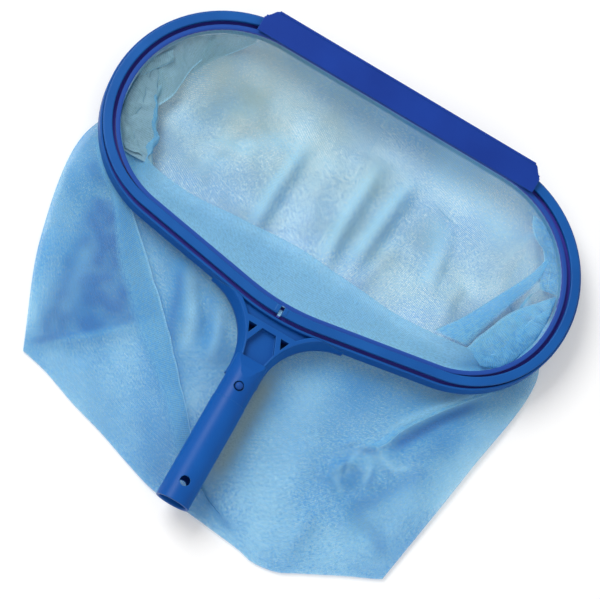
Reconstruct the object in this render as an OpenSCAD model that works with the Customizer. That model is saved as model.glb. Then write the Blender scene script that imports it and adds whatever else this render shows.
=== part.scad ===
// Leaf skimmer net: a moulded hoop with a scoop lip, a forked yoke and a
// pole handle, a deep mesh bag held in the hoop's channel by a pressed-in
// strip, and a moulded spring clip with two snap buttons inside the handle.
//
// Frame: millimetres. The origin is the centre of the handle's mouth, +Y runs
// up the handle to the hoop, +Z is the side that the bag opens to.

/* [Hoop] */
// Half length of the straight far side of the hoop
far_half = 109; // [100:1:120]
// Distance from the handle's mouth to the far side, at the channel's middle
far_y = 389.5; // [385:0.5:400]
// Bend radius of the hoop's far corners, at the channel's middle
far_r = 100.5; // [95:0.5:105]
// Bend radius of the hoop's near corners, at the channel's middle
near_r = 89.5; // [82:0.5:92]
// Bend radius at the middle of the near side
apex_r = 191; // [150:1:220]
// Width of the hoop's channel section
hoop_w = 15.2; // [14.8:0.2:16.4]
// Height of the hoop's channel section
hoop_h = 13; // [12:0.5:15]
// Thickness of the channel's two walls
hoop_wall = 2; // [1.8:0.1:2.8]

/* [Scoop lip] */
// Half width of the lip along its free edge
lip_half = 125; // [115:1:128]
// Reach of the lip, from its inner edge to its free edge
lip_reach = 22.5; // [20:0.5:24]
// Upward slope of the lip, in degrees
lip_slope = 14; // [10:1:18]
// Thickness of the lip's blade
lip_t = 2.4; // [2:0.2:3]

/* [Handle] */
// Outer radius of the handle, which slides inside a 1 1/4 inch pole
tube_r = 14.3; // [14.2:0.05:14.4]
// Bore radius of the handle
bore_r = 11.8; // [11.6:0.1:11.9]
// Length of the full-size part of the handle
land_len = 92; // [88:1:94]
// Radius of the cross holes
hole_r = 4.2; // [4:0.1:4.4]
// Distance from the mouth to the first pair of cross holes
pin_y = 17.5; // [16:0.5:22]
// Distance from the mouth to the second pair, which holds the clip's buttons
snap_y = 105; // [103:0.5:107]

/* [Spring clip] */
// Width of the clip's legs
clip_w = 9; // [8:0.5:9.5]
// Thickness of the clip
clip_t = 1.8; // [1.4:0.1:2.2]
// Radius of a snap button
button_r = 3.1; // [2.8:0.1:3.3]
// How far a button stands out of the handle
button_proud = 2.6; // [2:0.1:3]

/* [Net] */
// Depth of the laid-out bag under the handle
bag_depth = 11; // [10:0.5:12]
// Wall that stands for the mesh cloth
cloth = 1.3; // [1.2:0.1:1.5]
// Points round each ring of the bag
bag_points = 48; // [32:8:56]

/* [Hidden] */
$fn = 96;

// Colours of the mouldings and the cloth
moulding = [0.11, 0.30, 0.64];
mesh_cloth = [0.50, 0.72, 0.87];
clip_blue = [0.09, 0.27, 0.60];

// The near side falls away from its middle at this slope, and the far corner
// turns through far_turn before the near corner takes over
near_slope = 10;
far_turn = 104;
near_turn = 180 - near_slope - far_turn;
far_centre = [far_half, far_y - far_r];
near_centre = far_centre + (far_r - near_r) * [cos(90 - far_turn), sin(90 - far_turn)];
near_normal = [sin(near_slope), -cos(near_slope)];
apex_cy = (near_centre * near_normal + near_r - apex_r) / near_normal[1];
apex_y = apex_cy - apex_r;

// Heights of the hoop's section
hoop_top = 6;
hoop_bottom = hoop_top - hoop_h;
web_top = 0.5;
web_t = 2;
wall_draft = 0.8;

// The strip: a stem in the channel under a wider cap. It hugs the outer wall
// round the ends and the inner wall on the near side.
strip_cap_w = 7.8;
strip_cap_h = 2.6;
strip_stem_w = 4;
strip_out_end = 1.8;
strip_out_near = -1.1;
strip_lift = 0.3;
strip_top = hoop_top + strip_lift + strip_cap_h;
strip_gap = 3.2;
strip_end_a = 0.55;
strip_tab_a = 1;

// Cloth of the hem, folded into the channel and over the inner wall
hem_t = 0.5;
hem_down = 5;
hem_knot_w = 2.6;
hem_knot_l = 7;
hem_knot_h = 5.2;

// The lip starts over the inner wall and clears the strip
lip_inner_y = far_y - hoop_w / 2 - 2.5;
lip_z = strip_top + 0.4;
lip_base_half = lip_half + 9.5;
lip_edge_r = 1.5;
lip_rib_step = 42;
lip_web = 1.5;

// Yoke: two curved arms round centres beside the handle, a plate and ribs
arm_cx = 69;
arm_cy = 121.3;
arm_base_r = 54.6;
arm_top_r = 58.8;
arm_rib_r = 62.6;
yoke_top = 7;
plate_top = 1;
yoke_bottom = -9;
ridge_y = 158;
ridge_w = 4.6;
neck_y = 117;
recess_end_y = 130.7;
recess_wide_y = 143;
recess_z = 1.5;

// Handle: full-size land, then a relieved shank that the buttons stand on
shank_r = tube_r - 0.4;
nose_start = 110;
nose_mid = 122;
nose_mid_z = 11.9;
nose_end = 131;
bore_end = 114.5;

// Clip: one moulded U whose legs lie along the bore
clip_z = 10.5;
clip_bend_y = 44;
clip_pivot_y = 52;
clip_end_y = 112;
clip_joint_gap = 0.15;
bend_w = 2 * sqrt(bore_r * bore_r - clip_z * clip_z) - 0.02;

// Bag: it stands on the ground, this far below the handle's axis
pole_room = 1.8;
ground_z = -(tube_r + pole_room + bag_depth);

// ---- Path of the hoop ----

// Radius that the near corner takes when the loop is set outwards by d_end
// round the ends and by d_near on the near side
function near_corner_r(d_end, d_near) =
    let (k = cos(near_turn)) near_r + (d_near - d_end * k) / (1 - k);

// Sweeps a section round the hoop. The section's +x is outwards, its +y is up.
// The first child is the section. The second, a hair larger, is a short bead
// over each joint between a bend and a straight run, which makes one solid.
bead = 0.03;
bead_half = 0.3;
module loop_bead() {
    rotate([90, 0, 0])
        linear_extrude(2 * bead_half, center = true)
            children();
}

module loop_sweep(d_end = 0, d_near = 0) {
    fr = far_r + d_end;
    nr = near_corner_r(d_end, d_near);
    ar = apex_r + d_near;
    nc = far_centre + (fr - nr) * [cos(90 - far_turn), sin(90 - far_turn)];
    p_end = nc + nr * near_normal;
    straight = (p_end[0] - ar * sin(near_slope)) / cos(near_slope);
    // Bends and runs stop this far short inside their beads
    short = 0.1;
    trim = 0.06;
    translate([-far_half + short, far_y + d_end])
        rotate([0, 0, 90])
            rotate([90, 0, 0])
                linear_extrude(2 * far_half - 2 * short)
                    children(0);
    translate([0, apex_cy])
        rotate([0, 0, trim / 2 - 90 - near_slope])
            rotate_extrude(angle = 2 * near_slope - trim)
                translate([ar, 0])
                    children(0);
    for (side = [0, 1])
        mirror([side, 0, 0]) {
            translate(far_centre)
                rotate([0, 0, 90 - far_turn + trim])
                    rotate_extrude(angle = far_turn - 2 * trim)
                        translate([fr, 0])
                            children(0);
            translate(nc)
                rotate([0, 0, near_slope - 90 + trim])
                    rotate_extrude(angle = near_turn - 2 * trim)
                        translate([nr, 0])
                            children(0);
            translate(p_end - short * [cos(near_slope), sin(near_slope)])
                rotate([0, 0, near_slope - 90])
                    rotate([90, 0, 0])
                        linear_extrude(straight - 2 * short)
                            children(0);
            translate([far_half, far_y + d_end])
                rotate([0, 0, 90])
                    loop_bead()
                        children(1);
            translate(nc)
                rotate([0, 0, 90 - far_turn])
                    translate([nr, 0])
                        loop_bead()
                            children(1);
            translate(nc)
                rotate([0, 0, near_slope - 90])
                    translate([nr, 0])
                        loop_bead()
                            children(1);
            translate([0, apex_cy])
                rotate([0, 0, near_slope - 90])
                    translate([ar, 0])
                        loop_bead()
                            children(1);
        }
}

// ---- Hoop ----

module hoop_section(g = 0) {
    half = hoop_w / 2 + g;
    inner = hoop_w / 2 - hoop_wall - g;
    low = hoop_bottom - g;
    top = hoop_top + g;
    floor_z = web_top + g;
    roof_z = web_top - web_t - g;
    edge = 0.6;
    polygon([[-half - wall_draft / 2, low + edge], [-half + edge, low],
             [-inner + edge / 2, low], [-inner + edge / 2, roof_z],
             [inner - edge / 2, roof_z], [inner - edge / 2, low],
             [half - edge, low], [half + wall_draft, low + edge],
             [half, top - edge], [half - edge, top], [inner + edge / 2, top],
             [inner, top - edge / 2], [inner, floor_z], [-inner, floor_z],
             [-inner, top - edge / 2], [-inner - edge / 2, top],
             [-half + edge, top], [-half, top - edge]]);
}

module hoop() {
    color(moulding)
        loop_sweep() {
            hoop_section();
            hoop_section(bead);
        }
}

// ---- Scoop lip ----

// Outline of the blade in its own plane, from its inner edge outwards
module lip_outline() {
    corner = 5;
    base_y = lip_reach * 0.55;
    hull_pts = [[-lip_base_half, 0], [lip_base_half, 0], [lip_base_half, base_y]];
    polygon(concat(hull_pts,
                   [[lip_half + corner, lip_reach - corner],
                    [lip_half + corner * 0.5, lip_reach - corner * 0.3],
                    [lip_half, lip_reach],
                    [-lip_half, lip_reach],
                    [-lip_half - corner * 0.5, lip_reach - corner * 0.3],
                    [-lip_half - corner, lip_reach - corner],
                    [-lip_base_half, base_y]]));
}

module lip_plane() {
    translate([0, lip_inner_y, lip_z])
        rotate([lip_slope, 0, 0])
            children();
}

// Everything under the blade and over the hoop's wall
module under_lip() {
    half = lip_base_half - 1;
    drop = lip_z - hoop_top;
    back = hoop_w + 20;
    rise = back * tan(lip_slope);
    translate([-half, lip_inner_y, hoop_top])
        rotate([90, 0, 90])
            linear_extrude(2 * half)
                polygon([[0, 0], [back, 0], [back, drop + rise + 0.5], [0, drop + 0.5]]);
}

module lip_rib() {
    root_y = far_y + hoop_w / 2;
    tip_y = lip_inner_y + (lip_reach - 2) * cos(lip_slope);
    tip_z = lip_z + (tip_y - lip_inner_y) * tan(lip_slope);
    root_z = lip_z + (root_y - 1 - lip_inner_y) * tan(lip_slope);
    rotate([90, 0, 90])
        linear_extrude(1.8, center = true)
            polygon([[root_y - 1, hoop_top], [root_y, hoop_top], [root_y + 0.9, hoop_bottom + 3],
                     [root_y + 1.6, hoop_bottom + 3], [tip_y, tip_z + 0.5], [root_y - 1, root_z + 0.5]]);
}

module scoop_lip() {
    half = hoop_w / 2;
    color(moulding) {
        lip_plane()
            linear_extrude(lip_t)
                lip_outline();
        lip_plane()
            translate([0, lip_reach - 0.6, lip_t - lip_edge_r + 0.6])
                rotate([0, 90, 0])
                    cylinder(h = 2 * lip_half, r = lip_edge_r, center = true);
        intersection() {
            loop_sweep() {
                translate([half - lip_web - 0.1, hoop_top])
                    square([lip_web, 14]);
                translate([half - lip_web - 0.1 - bead, hoop_top])
                    square([lip_web + 2 * bead, 14]);
            }
            under_lip();
        }
        difference() {
            for (x = [-2.5 : 1 : 2.5])
                translate([x * lip_rib_step, 0, 0])
                    lip_rib();
            loop_sweep() {
                hoop_section();
                hoop_section(bead);
            }
        }
    }
}

// ---- Yoke ----

module arm_section() {
    polygon([[arm_base_r, yoke_bottom], [arm_base_r, yoke_bottom + 4],
             [arm_top_r - 0.6, yoke_top - 1.4], [arm_top_r + 0.4, yoke_top],
             [arm_rib_r - 0.6, yoke_top], [arm_rib_r, yoke_top - 0.6], [arm_rib_r, yoke_bottom]]);
}

// The flat web between the arms, as far as the hoop's outer wall
module yoke_web(z0, z1) {
    translate([0, 0, z0])
        linear_extrude(z1 - z0)
            difference() {
                translate([-arm_cx, neck_y])
                    square([2 * arm_cx, apex_y + 14 - neck_y]);
                for (side = [-1, 1])
                    translate([side * arm_cx, arm_cy])
                        circle(r = arm_rib_r - 1, $fn = 192);
                translate([0, apex_cy])
                    circle(r = apex_r + hoop_w / 2 - 1, $fn = 360);
                translate([0, apex_y + 13])
                    square([2 * arm_cx + 1, 14], center = true);
            }
}

// The hoop's whole space, to cut the yoke back to its outer wall
module hoop_block() {
    translate([-hoop_w, hoop_bottom - 5])
        square([1.5 * hoop_w + 0.05, 40]);
}

module recess_outline(grow = 0) {
    wide = 12.5 + grow;
    polygon([[-6.4 - grow * 0.6, ridge_y + grow], [6.4 + grow * 0.6, ridge_y + grow],
             [wide, recess_wide_y], [9.4 + grow, recess_end_y - grow],
             [-9.4 - grow, recess_end_y - grow], [-wide, recess_wide_y]]);
}

module yoke_pockets() {
    for (side = [-1, 1])
        polygon([[side * 10.9, ridge_y], [side * 18.7, ridge_y], [side * 14.8, ridge_y - 8.8]]);
}

module yoke() {
    color(moulding)
        difference() {
            union() {
                for (side = [0, 1])
                    mirror([side, 0, 0])
                        translate([arm_cx, arm_cy])
                            rotate([0, 0, 98])
                                rotate_extrude(angle = 90, $fn = 192)
                                    arm_section();
                yoke_web(yoke_bottom, plate_top);
                // The raised field round the recess, up to the cross ridge
                intersection() {
                    yoke_web(yoke_bottom, yoke_top);
                    translate([-40, neck_y - 1, yoke_bottom])
                        cube([80, ridge_y + ridge_w - neck_y + 1, 40]);
                }
            }
            // Recess and deep triangular pockets
            translate([0, 0, recess_z])
                linear_extrude(20)
                    recess_outline();
            translate([0, 0, yoke_bottom + 1.2])
                linear_extrude(40)
                    yoke_pockets();
            // Hollow underside
            translate([0, 0, yoke_bottom - 1])
                linear_extrude(8)
                    recess_outline(1);
            // Seats of the hoop and of the handle
            loop_sweep() {
                hoop_block();
                hoop_block();
            }
            loop_sweep() {
                hoop_section();
                hoop_section(bead);
            }
            tube_solid();
        }
}

// ---- Handle ----

module along_y(y0, y1) {
    translate([0, y0, 0])
        rotate([-90, 0, 0])
            linear_extrude(y1 - y0)
                children();
}

// Side view of the shank's closed end: full height, then two slopes down to
// the level of the yoke
module nose_profile() {
    polygon([[land_len - 1, -shank_r - 1], [nose_start, -shank_r - 1], [nose_mid, -nose_mid_z],
             [nose_end, yoke_bottom], [nose_end, yoke_top], [nose_mid, nose_mid_z],
             [nose_start, shank_r + 1], [land_len - 1, shank_r + 1]]);
}

module tube_solid() {
    translate([0, 0, 0])
        rotate([-90, 0, 0])
            cylinder(h = land_len, r = tube_r);
    intersection() {
        translate([0, land_len - 0.5, 0])
            rotate([-90, 0, 0])
                cylinder(h = nose_end + 5 - land_len, r = shank_r);
        rotate([90, 0, 90])
            linear_extrude(4 * shank_r, center = true)
                nose_profile();
    }
}

module handle_tube() {
    color(moulding)
        difference() {
            tube_solid();
            translate([0, -1, 0])
                rotate([-90, 0, 0])
                    cylinder(h = bore_end + 1, r = bore_r);
            translate([0, -0.01, 0])
                rotate([-90, 0, 0])
                    cylinder(h = 1, r1 = bore_r + 0.8, r2 = bore_r);
            for (y = [pin_y, snap_y])
                translate([0, y, 0])
                    cylinder(h = 4 * tube_r, r = hole_r, center = true);
        }
}

// ---- Retaining strip ----

module strip_section(extra = 0, g = 0) {
    half = strip_cap_w / 2 + g;
    stem = strip_stem_w / 2 + g;
    low = web_top + hem_t + 0.1 - g;
    cap_z = hoop_top + strip_lift - g;
    top = strip_top + extra + g;
    round = 0.9;
    polygon([[-stem, low], [stem, low], [stem, cap_z], [half, cap_z], [half, top - round],
             [half - round * 0.3, top - round * 0.3], [half - round, top], [-half + round, top],
             [-half + round * 0.3, top - round * 0.3], [-half, top - round], [-half, cap_z],
             [-stem, cap_z]]);
}

module near_block(half) {
    translate([-half, apex_y - hoop_w, -20])
        cube([2 * half, 2 * hoop_w, 40]);
}

module retaining_strip() {
    half_gap = strip_gap / 2;
    color(moulding) {
        difference() {
            loop_sweep(strip_out_end, strip_out_near) {
                strip_section();
                strip_section(0, bead);
            }
            near_block(half_gap);
        }
        // The strip's two ends stand a little higher
        for (side = [0, 1])
            mirror([side, 0, 0])
                translate([0, apex_cy])
                    rotate([0, 0, -90 + strip_end_a])
                        rotate_extrude(angle = strip_tab_a)
                            translate([apex_r + strip_out_near, strip_top - 1])
                                square([strip_cap_w - 2.2, 2.8], center = true);
    }
}

// ---- Net ----

// Hem: under the strip, up the channel's inner side, over the wall and down
module hem_section(g = 0) {
    wall_in = -hoop_w / 2 + g;
    wall_out = -hoop_w / 2 + hoop_wall - g;
    end = hoop_w / 2 - hoop_wall - 0.4;
    t = hem_t + 2 * g;
    floor_z = web_top - g;
    over = hoop_top - g;
    polygon([[end, floor_z], [end, floor_z + t], [wall_out + t, floor_z + t],
             [wall_out + t, over + t * 0.6], [wall_out, over + t], [wall_in, over + t],
             [wall_in - wall_draft - t, over], [wall_in - wall_draft - t, over - hem_down],
             [wall_in - wall_draft, over - hem_down], [wall_in - wall_draft, over - 0.5],
             [wall_in, over], [wall_out, over], [wall_out, floor_z]]);
}

module net_hem() {
    color(mesh_cloth) {
        loop_sweep() {
            hem_section();
            hem_section(bead);
        }
        // The hem's joined ends stand up between the strip's ends
        translate([0, apex_y + strip_out_near, web_top + hem_t / 2])
            intersection() {
                translate([-hem_knot_w / 2, -hem_knot_l / 2, 0])
                    cube([hem_knot_w, hem_knot_l, hoop_top]);
                rotate([0, 90, 0])
                    cylinder(h = 2 * hem_knot_w, r = hem_knot_h, center = true);
            }
    }
}

// Point on the hoop's line, set outwards by d, at angle a from the far middle
// (0) over the right end (90) to the near middle (180)
function hoop_point(a, d) =
    let (b = a > 180 ? 360 - a : a,
         s = a > 180 ? -1 : 1,
         t = b / 180,
         l1 = far_half,
         l2 = (far_r + d) * far_turn * PI / 180,
         l3 = (near_r + d) * near_turn * PI / 180,
         p3 = near_centre + (near_r + d) * near_normal,
         l4 = (p3[0] - (apex_r + d) * sin(near_slope)) / cos(near_slope),
         l5 = (apex_r + d) * near_slope * PI / 180,
         u = t * (l1 + l2 + l3 + l4 + l5),
         q = u < l1 ? [u, far_y + d]
           : u < l1 + l2 ?
               let (g = 90 - (u - l1) / l2 * far_turn) far_centre + (far_r + d) * [cos(g), sin(g)]
           : u < l1 + l2 + l3 ?
               let (g = 90 - far_turn - (u - l1 - l2) / l3 * near_turn)
               near_centre + (near_r + d) * [cos(g), sin(g)]
           : u < l1 + l2 + l3 + l4 ?
               p3 - (u - l1 - l2 - l3) * [cos(near_slope), sin(near_slope)]
           : let (g = -90 + near_slope * (1 - (u - l1 - l2 - l3 - l4) / l5))
               [0, apex_cy] + (apex_r + d) * [cos(g), sin(g)])
    [s * q[0], q[1]];

// The bag lies under the hoop and the handle. Each ring below the hoop is
// given by its left and right points, its far and near points, how straight
// the runs between them are, its heights and how far it is folded in.
// [left, right, far, near, run, z_far, z_side, z_near, fold]
bag_top = ground_z + bag_depth;
bag_rings = [
    [[-184, 288], [181, 296], [0, 354], [0, 238], 0.42, ground_z + 0.8, -11.5, -11.5, 0.5],
    [[-182, 284], [179, 290], [0, 346], [0, 236], 0.45, ground_z, -15.5, -14.5, -0.5],
    [[-212, 236], [216, 246], [0, 236], [0, 160], 0.8, ground_z, -21, bag_top - 0.2, -1],
    [[-203, 152], [210, 160], [0, 170], [0, 112], 0.95, ground_z, -21.5, bag_top - 0.4, -1],
    [[-184, 92], [197, 98], [0, 110], [0, 72], 1.2, ground_z, -22.5, bag_top - 1.2, -1],
    [[-163, 50], [181, 36], [80, -5], [80, -5], 1.9, ground_z, -25, ground_z + 4.5, -1]];

function power(x, e) = pow(abs(x), e);

// A point of the bag's skin. Inset moves it inwards, to the cloth's inner face
function bag_point(ring, a, inset) =
    let (r = bag_rings[ring],
         far = cos(a) >= 0,
         side = sin(a) >= 0 ? r[1] : r[0],
         mid = far ? r[2] : r[3],
         folded = r[8] > -1,
         z_mid = far ? r[5] + inset : r[7] + inset * r[8],
         z_side = r[6] + (folded ? inset * r[8] : 0),
         sx = power(sin(a), r[4]),
         cy = power(cos(a), r[4]),
         end_y = ring == len(bag_rings) - 1 ? 2.2 * inset : 0,
         x = mid[0] + sx * (side[0] - mid[0]) - sign(sin(a)) * inset * 1.6 * sx,
         y = side[1] + cy * (mid[1] - side[1]) + end_y + (!folded ? 0 : far ? -inset * cy : inset * cy),
         z = z_side + power(cos(a), 0.6) * (z_mid - z_side))
    [x, y, z];

// Two rings hang straight down inside the hoop before the bag turns in
hang_z = [hoop_top - hem_down - 1, hoop_bottom - 1.6];
hang_d = [-hoop_w / 2 - 2.2, -hoop_w / 2 - 2.6];
function hang_point(ring, a, inset) =
    let (p = hoop_point(a, hang_d[ring] - inset)) [p[0], p[1], hang_z[ring] + ring * inset];

bag_angles = [for (i = [0 : bag_points - 1]) i * 360 / bag_points];
function bag_skin(inset) = concat(
    [for (ring = [0, 1]) for (a = bag_angles) hang_point(ring, a, inset)],
    [for (ring = [0 : len(bag_rings) - 1]) for (a = bag_angles) bag_point(ring, a, inset)]);

module net_bag() {
    n = bag_points;
    rings = 2 + len(bag_rings);
    skin = rings * n;
    last = (rings - 1) * n;
    half = n / 2;
    // Walls between ring k and k + 1, outer skin then inner skin turned round
    walls = [for (k = [0 : rings - 2]) for (i = [0 : n - 1])
        let (j = (i + 1) % n) each [
            [k * n + i, k * n + j, (k + 1) * n + j],
            [k * n + i, (k + 1) * n + j, (k + 1) * n + i],
            [skin + k * n + j, skin + k * n + i, skin + (k + 1) * n + j],
            [skin + (k + 1) * n + j, skin + k * n + i, skin + (k + 1) * n + i]]];
    rim = [for (i = [0 : n - 1])
        let (j = (i + 1) % n) each [[j, i, skin + i], [j, skin + i, skin + j]]];
    // The bottom seam closes the far half of the last ring on its near half
    seam = [for (m = [0, skin]) for (i = [0 : half - 1])
        let (far_a = last + (n + n / 4 - i) % n,
             far_b = last + (n + n / 4 - i - 1) % n,
             near_a = last + (n / 4 + i) % n,
             near_b = last + (n / 4 + i + 1) % n)
        each (i == 0 ? [[far_a, near_b, far_b]]
            : i == half - 1 ? [[near_a, near_b, far_a]]
            : [[near_a, near_b, far_a], [far_a, near_b, far_b]])
        ];
    seam_out = [for (f = [for (i = [0 : len(seam) / 2 - 1]) seam[i]]) f];
    seam_in = [for (f = seam_out) [skin + f[2], skin + f[1], skin + f[0]]];
    color(mesh_cloth)
        polyhedron(points = concat(bag_skin(0), bag_skin(cloth)),
                   faces = concat(walls, rim, seam_out, seam_in), convexity = 8);
}

// ---- Spring clip ----

// The bend and the roots of both legs, held by its springiness in the bore
module clip_bend() {
    root_y = clip_pivot_y - clip_joint_gap;
    color(clip_blue) {
        translate([0, clip_bend_y, 0])
            rotate([0, 90, 0])
                rotate([0, 0, 180])
                    rotate_extrude(angle = 180)
                        translate([clip_z - clip_t, -bend_w / 2])
                            square([clip_t, bend_w]);
        for (side = [0, 1])
            mirror([0, 0, side])
                translate([-bend_w / 2, clip_bend_y, clip_z - clip_t])
                    cube([bend_w, root_y - clip_bend_y, clip_t]);
    }
}

module clip_arm() {
    nose = 1.2;
    color(clip_blue)
        rotate([90, 0, 90])
            linear_extrude(clip_w, center = true)
                polygon([[clip_pivot_y, clip_z - clip_t], [clip_pivot_y, clip_z],
                         [clip_end_y - nose, clip_z], [clip_end_y, clip_z - nose],
                         [clip_end_y, clip_z - clip_t]]);
}

module clip_arm_top() {
    clip_arm();
}

module clip_arm_bottom() {
    mirror([0, 0, 1])
        clip_arm();
}

// A snap button: a round stud with a domed top, moulded on its leg
module button() {
    head_top = shank_r + button_proud;
    dome = 1.6;
    sphere_r = (button_r * button_r + dome * dome) / (2 * dome);
    color(clip_blue)
        translate([0, snap_y, 0])
            intersection() {
                translate([0, 0, clip_z])
                    cylinder(h = 20, r = button_r);
                union() {
                    translate([0, 0, clip_z])
                        cylinder(h = head_top - dome - clip_z, r = button_r);
                    translate([0, 0, head_top - sphere_r])
                        sphere(r = sphere_r);
                }
            }
}

module button_top() {
    button();
}

module button_bottom() {
    mirror([0, 0, 1])
        button();
}

hoop();
scoop_lip();
yoke();
handle_tube();
retaining_strip();
net_hem();
net_bag();
clip_bend();
clip_arm_top();
clip_arm_bottom();
button_top();
button_bottom();
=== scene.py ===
import math
import bmesh
import bpy
import numpy as np
from mathutils import Matrix, Vector, noise


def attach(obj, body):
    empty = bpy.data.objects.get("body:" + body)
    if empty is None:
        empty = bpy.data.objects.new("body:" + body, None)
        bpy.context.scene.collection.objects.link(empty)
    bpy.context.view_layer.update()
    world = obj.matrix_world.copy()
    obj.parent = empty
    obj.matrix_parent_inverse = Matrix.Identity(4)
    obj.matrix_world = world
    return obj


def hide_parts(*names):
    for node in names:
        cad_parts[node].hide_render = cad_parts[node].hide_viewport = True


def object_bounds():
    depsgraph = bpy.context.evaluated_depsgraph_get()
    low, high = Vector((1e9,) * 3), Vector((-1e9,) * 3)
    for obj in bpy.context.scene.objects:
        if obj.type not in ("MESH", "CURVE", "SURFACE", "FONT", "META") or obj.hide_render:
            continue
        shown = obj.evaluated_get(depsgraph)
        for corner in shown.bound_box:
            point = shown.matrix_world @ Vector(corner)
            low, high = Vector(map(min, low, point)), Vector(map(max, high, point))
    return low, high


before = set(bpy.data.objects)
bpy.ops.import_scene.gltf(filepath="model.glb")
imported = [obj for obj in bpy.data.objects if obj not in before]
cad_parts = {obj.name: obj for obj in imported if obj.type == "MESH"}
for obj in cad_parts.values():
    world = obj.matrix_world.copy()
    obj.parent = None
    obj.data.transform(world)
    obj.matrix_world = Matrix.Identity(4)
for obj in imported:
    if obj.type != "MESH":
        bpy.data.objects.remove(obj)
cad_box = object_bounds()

# Camera. It looks steeply down from the handle's side, turned so that the
# handle runs to the lower left, as on a product table.
cam_data = bpy.data.cameras.new("camera")
cam_data.sensor_width = 36.0
cam_data.lens = 110.18
cam_data.clip_end = 50.0
camera = bpy.data.objects.new("camera", cam_data)
bpy.context.collection.objects.link(camera)
el, az, roll = math.radians(72.534), math.radians(-9.146), math.radians(39.131)
back = Vector((math.sin(az) * math.cos(el), -math.cos(az) * math.cos(el), math.sin(el)))
side = (-back).cross(Vector((0, 0, 1))).normalized()
over = side.cross(-back)
cam_x = side * math.cos(roll) + over * math.sin(roll)
cam_y = over * math.cos(roll) - side * math.sin(roll)
target, distance = Vector((0.008985, 0.19696, 0.0)), 1.5
spot = target + back * distance
camera.matrix_world = Matrix((
    (cam_x.x, cam_y.x, back.x, spot.x),
    (cam_x.y, cam_y.y, back.y, spot.y),
    (cam_x.z, cam_y.z, back.z, spot.z),
    (0, 0, 0, 1)))
bpy.context.scene.camera = camera

# The floor: a pale matt table top, big enough to fill the view, that keeps
# the soft shadow under the net and the handle.
lowest = cad_box[0][2]
bm = bmesh.new()
bmesh.ops.create_grid(bm, x_segments=2, y_segments=2, size=6.0)
bmesh.ops.translate(bm, verts=bm.verts, vec=(0, 0, lowest - 0.0006))
mesh = bpy.data.meshes.new("floor")
bm.to_mesh(mesh)
bm.free()
floor = bpy.data.objects.new("floor", mesh)
bpy.context.collection.objects.link(floor)
mat = bpy.data.materials.new("table_top")
mat.use_nodes = True
bsdf = mat.node_tree.nodes["Principled BSDF"]
bsdf.inputs["Base Color"].default_value = (0.95, 0.95, 0.95, 1)
bsdf.inputs["Roughness"].default_value = 0.9
bsdf.inputs["Specular IOR Level"].default_value = 0.1
bsdf.inputs["Emission Color"].default_value = (1, 1, 1, 1)
# A little light of its own, for the camera only, brings the table top to white
own_light = 0.06
seen = mat.node_tree.nodes.new("ShaderNodeLightPath")
lift = mat.node_tree.nodes.new("ShaderNodeMath")
lift.operation = "MULTIPLY"
lift.inputs[1].default_value = own_light
mat.node_tree.links.new(seen.outputs["Is Camera Ray"], lift.inputs[0])
mat.node_tree.links.new(lift.outputs[0], bsdf.inputs["Emission Strength"])
mesh.materials.append(mat)

# Soft studio light: a bright even sky and one large lamp from the side of -X,
# with a weak one opposite.
world = bpy.data.worlds.new("studio")
bpy.context.scene.world = world
world.use_nodes = True
sky = world.node_tree.nodes["Background"]
sky.inputs["Color"].default_value = (1.0, 1.0, 1.0, 1)
sky.inputs["Strength"].default_value = 0.56
for name, place, size, power in (
        ("key", (-1.5, 0.75, 1.9), 1.2, 40.0),
        ("fill", (1.2, -0.9, 1.8), 1.6, 7.0)):
    lamp = bpy.data.lights.new(name, "AREA")
    lamp.shape = "SQUARE"
    lamp.size = size
    lamp.energy = power
    obj = bpy.data.objects.new(name, lamp)
    bpy.context.collection.objects.link(obj)
    obj.location = place
    aim = Vector((0.0, 0.2, 0.0)) - Vector(place)
    obj.rotation_euler = aim.to_track_quat("-Z", "Y").to_euler()
bpy.context.scene.view_settings.view_transform = "Standard"


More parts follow.
